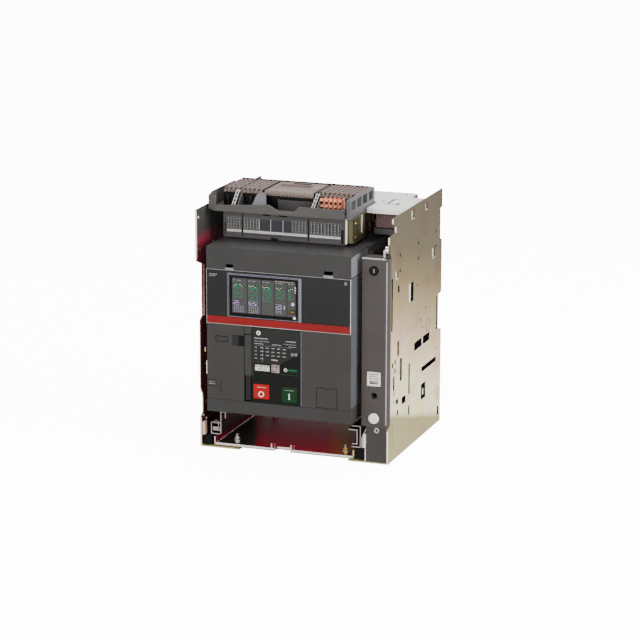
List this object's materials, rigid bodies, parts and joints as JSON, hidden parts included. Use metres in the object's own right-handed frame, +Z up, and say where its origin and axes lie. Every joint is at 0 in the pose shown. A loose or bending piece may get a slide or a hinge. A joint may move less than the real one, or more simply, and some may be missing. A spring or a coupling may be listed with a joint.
{
  "type": "air circuit breaker",
  "caption": "Withdrawable three-pole air circuit breaker racked into a sheet-metal cradle, with a trip unit, charging lever, push buttons and a racking spindle",
  "frame": {"origin": "centre of the footprint on the surface that the cradle stands on", "axes": "+Z up, the operating face looks along -Y, the main terminals point along +Y, +X is to the right of someone facing the front"},
  "size_m": [0.278, 0.271, 0.3635],
  "materials": {
    "zinc_sheet": "zinc plated and yellow passivated sheet steel",
    "insulator": "wine-red glass-filled moulding, satin",
    "plated_copper": "silver-plated copper, satin",
    "cover_grey": "warm grey moulded cover, fine texture",
    "bright_metal": "nickel plated",
    "steel": "machined steel",
    "white_plastic": "white moulding",
    "terminal_grey": "mid grey moulding",
    "terminal_pink": "pinkish grey moulding",
    "terminal_orange": "orange moulding",
    "casing_grey": "dark grey moulding, fine spark texture",
    "black_plastic": "black moulding, semi-gloss",
    "silver_frame": "silver-lilac painted frame",
    "stripe_red": "red trim strip",
    "button_red": "red button",
    "button_green": "green button"
  },
  "bodies": {
    "cradle": {"side_plate_right": "zinc_sheet", "side_plate_left": "zinc_sheet", "floor_pan": "zinc_sheet", "cross_plate": "zinc_sheet", "fixed_rail_left": "zinc_sheet", "fixed_rail_right": "zinc_sheet", "spindle_bracket": "zinc_sheet", "terminal_bracket": "zinc_sheet", "rear_base": "insulator", "upper_terminal_1": "plated_copper", "upper_terminal_2": "plated_copper", "upper_terminal_3": "plated_copper", "lower_terminal_1": "plated_copper", "lower_terminal_2": "plated_copper", "lower_terminal_3": "plated_copper", "pillar_cover": "cover_grey", "lock_body": "bright_metal", "terminal_box": "terminal_grey", "terminal_hood": "terminal_grey", "terminal_end_wall": "terminal_grey", "terminal_block_left": "terminal_pink", "terminal_block_middle": "terminal_pink", "terminal_block_right": "terminal_pink", "push_in_terminals": "terminal_orange"},
    "breaker": {"front_casing": "casing_grey", "breaker_base": "casing_grey", "upper_fascia": "black_plastic", "stripe_band": "stripe_red", "lower_left_panel": "casing_grey", "lower_right_panel": "casing_grey", "nameplate": "black_plastic", "trip_unit": "silver_frame", "mechanism_frame": "zinc_sheet", "closing_spring": "steel", "upper_jaw_1": "plated_copper", "upper_jaw_2": "plated_copper", "upper_jaw_3": "plated_copper", "lower_jaw_1": "plated_copper", "lower_jaw_2": "plated_copper", "lower_jaw_3": "plated_copper"},
    "racking_carriage": {"racking_carriage": "steel"},
    "racking_spindle": {"racking_spindle": "steel"},
    "position_indicator": {"position_indicator": "white_plastic"},
    "key_lock": {"key_lock": "bright_metal"},
    "release_button": {"release_button": "white_plastic"},
    "upper_shutter": {"upper_shutter": "insulator"},
    "lower_shutter": {"lower_shutter": "insulator"},
    "sliding_rail_left": {"sliding_rail_left": "zinc_sheet"},
    "sliding_rail_right": {"sliding_rail_right": "zinc_sheet"},
    "access_door": {"access_door": "casing_grey"},
    "trip_test_button": {"trip_test_button": "terminal_pink"},
    "charging_lever": {"charging_lever": "black_plastic"},
    "charging_gear": {"charging_gear": "steel"},
    "off_button": {"off_button": "button_red"},
    "on_button": {"on_button": "button_green"},
    "reset_button": {"reset_button": "terminal_grey"},
    "contact_flag": {"contact_flag": "button_green"},
    "spring_flag": {"spring_flag": "white_plastic"},
    "main_shaft": {"main_shaft": "steel"}
  },
  "joints": [
    {"name": "racking_travel", "type": "slide", "parent": "cradle", "child": "racking_carriage", "axis": [0, -1, 0], "range_m": [0, 0.06]},
    {"name": "breaker_extraction", "type": "slide", "parent": "racking_carriage", "child": "breaker", "axis": [0, -1, 0], "range_m": [0, 0.15]},
    {"name": "left_rail_travel", "type": "slide", "parent": "cradle", "child": "sliding_rail_left", "axis": [0, -1, 0], "range_m": [0, 0.181]},
    {"name": "right_rail_travel", "type": "slide", "parent": "cradle", "child": "sliding_rail_right", "axis": [0, -1, 0], "range_m": [0, 0.181]},
    {"name": "spindle_turn", "type": "hinge", "parent": "cradle", "child": "racking_spindle", "pos_m": [0.118, -0.1, 0.0967], "axis": [0, -1, 0], "range_deg": [0, 5402]},
    {"name": "drum_turn", "type": "hinge", "parent": "cradle", "child": "position_indicator", "pos_m": [0.1175, -0.092, 0.121], "axis": [1, 0, 0], "range_deg": [0, 181]},
    {"name": "upper_shutter_lift", "type": "slide", "parent": "cradle", "child": "upper_shutter", "axis": [0, 0, 1], "range_m": [0, 0.0601]},
    {"name": "lower_shutter_drop", "type": "slide", "parent": "cradle", "child": "lower_shutter", "axis": [0, 0, -1], "range_m": [0, 0.0601]},
    {"name": "key_turn", "type": "hinge", "parent": "cradle", "child": "key_lock", "pos_m": [0.117, -0.1, 0.273], "axis": [0, 1, 0], "range_deg": [0, 90]},
    {"name": "release_press", "type": "slide", "parent": "cradle", "child": "release_button", "axis": [0, 1, 0], "range_m": [0, 0.005], "stiffness_N_per_m": 250},
    {"name": "lever_pull", "type": "hinge", "parent": "breaker", "child": "charging_lever", "pos_m": [-0.0565, -0.131, 0.084], "axis": [1, 0, 0], "range_deg": [0, 85], "stiffness_Nm_per_rad": 0.1},
    {"name": "gear_turn", "type": "hinge", "parent": "breaker", "child": "charging_gear", "pos_m": [-0.0565, -0.1, 0.11], "axis": [1, 0, 0], "range_deg": [0, 85.1]},
    {"name": "spring_flag_shift", "type": "slide", "parent": "breaker", "child": "spring_flag", "axis": [0, 0, 1], "range_m": [0, 0.009]},
    {"name": "main_shaft_turn", "type": "hinge", "parent": "breaker", "child": "main_shaft", "pos_m": [-0.0125, -0.02, 0.15], "axis": [-1, 0, 0], "range_deg": [0, 20]},
    {"name": "contact_flag_shift", "type": "slide", "parent": "breaker", "child": "contact_flag", "axis": [0, 0, 1], "range_m": [0, 0.008]},
    {"name": "off_press", "type": "slide", "parent": "breaker", "child": "off_button", "axis": [0, 1, 0], "range_m": [0, 0.004], "stiffness_N_per_m": 250},
    {"name": "on_press", "type": "slide", "parent": "breaker", "child": "on_button", "axis": [0, 1, 0], "range_m": [0, 0.004], "stiffness_N_per_m": 250},
    {"name": "reset_press", "type": "slide", "parent": "breaker", "child": "reset_button", "axis": [0, 1, 0], "range_m": [0, 0.003], "stiffness_N_per_m": 250},
    {"name": "test_press", "type": "slide", "parent": "breaker", "child": "trip_test_button", "axis": [0, 1, 0], "range_m": [0, 0.0015], "stiffness_N_per_m": 250},
    {"name": "door_swing", "type": "hinge", "parent": "breaker", "child": "access_door", "pos_m": [0.0585, -0.13475, 0.082], "axis": [1, 0, 0], "range_deg": [0, 90]}
  ],
  "couplings": [
    {"joint": "left_rail_travel", "follows": "breaker_extraction", "ratio": 1.2},
    {"joint": "right_rail_travel", "follows": "breaker_extraction", "ratio": 1.2},
    {"joint": "spindle_turn", "follows": "racking_travel", "rad_per_m": 1570.8},
    {"joint": "drum_turn", "follows": "racking_travel", "rad_per_m": 52.36},
    {"joint": "upper_shutter_lift", "follows": "racking_travel", "ratio": 1},
    {"joint": "lower_shutter_drop", "follows": "racking_travel", "ratio": 1},
    {"joint": "gear_turn", "follows": "lever_pull", "ratio": 1},
    {"joint": "spring_flag_shift", "follows": "lever_pull", "m_per_rad": 0.006},
    {"joint": "contact_flag_shift", "follows": "main_shaft_turn", "m_per_rad": 0.0228}
  ]
}
